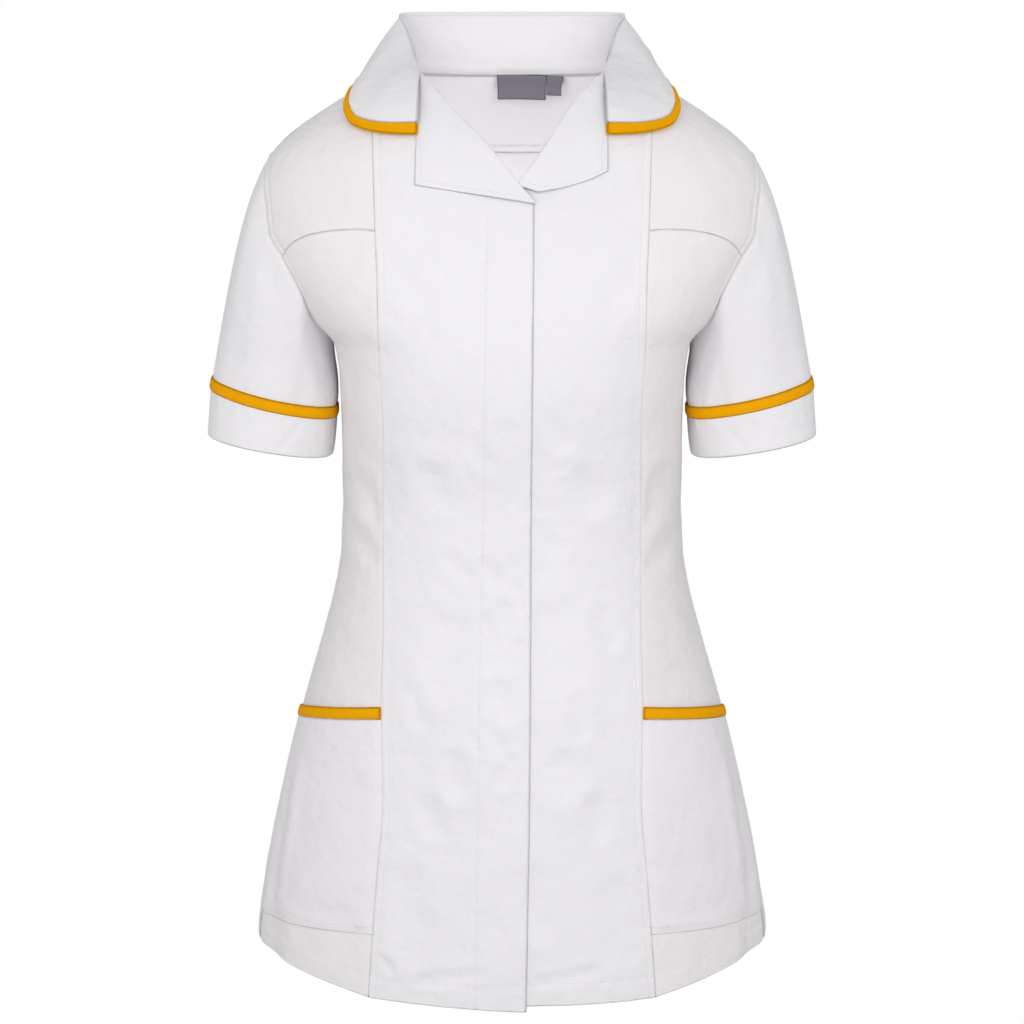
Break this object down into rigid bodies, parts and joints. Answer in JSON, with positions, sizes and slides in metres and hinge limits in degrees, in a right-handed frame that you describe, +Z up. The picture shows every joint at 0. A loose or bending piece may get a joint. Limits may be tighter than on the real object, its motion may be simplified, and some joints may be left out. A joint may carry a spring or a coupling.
{
  "type": "medical tunic",
  "caption": "Hollow short-sleeved wrap-front medical tunic with flat collar, lapels, princess seams, trimmed patch pockets and side vents, open at neck, cuffs and hem.",
  "frame": {"origin": "on the neck's centre line, between the shoulder points beside the neck and 6 mm above them, where the wearer's shoulders hold the garment", "axes": "+Z up, -Y out of the front, +X to the wearer's left"},
  "size_m": [0.4924, 0.2873, 0.7801],
  "materials": {
    "white_cloth": "matt plain weave",
    "amber_trim": "matt plain weave",
    "grey_label": "woven label"
  },
  "bodies": {
    "root": {"back": "white_cloth", "back_neck_facing": "white_cloth", "collar_fall": "white_cloth", "collar_stand": "white_cloth", "collar_trim": "amber_trim", "cuff_band_left": "white_cloth", "cuff_band_right": "white_cloth", "front_left": "white_cloth", "front_right": "white_cloth", "lapel_left": "white_cloth", "lapel_right": "white_cloth", "neck_label": "grey_label", "pocket_left": "white_cloth", "pocket_right": "white_cloth", "pocket_trim_left": "amber_trim", "pocket_trim_right": "amber_trim", "side_back_left": "white_cloth", "side_back_right": "white_cloth", "side_front_lower_left": "white_cloth", "side_front_lower_right": "white_cloth", "side_front_upper_left": "white_cloth", "side_front_upper_right": "white_cloth", "size_label": "grey_label", "sleeve_left": "white_cloth", "sleeve_right": "white_cloth", "sleeve_trim_left": "amber_trim", "sleeve_trim_right": "amber_trim"}
  },
  "joints": []
}
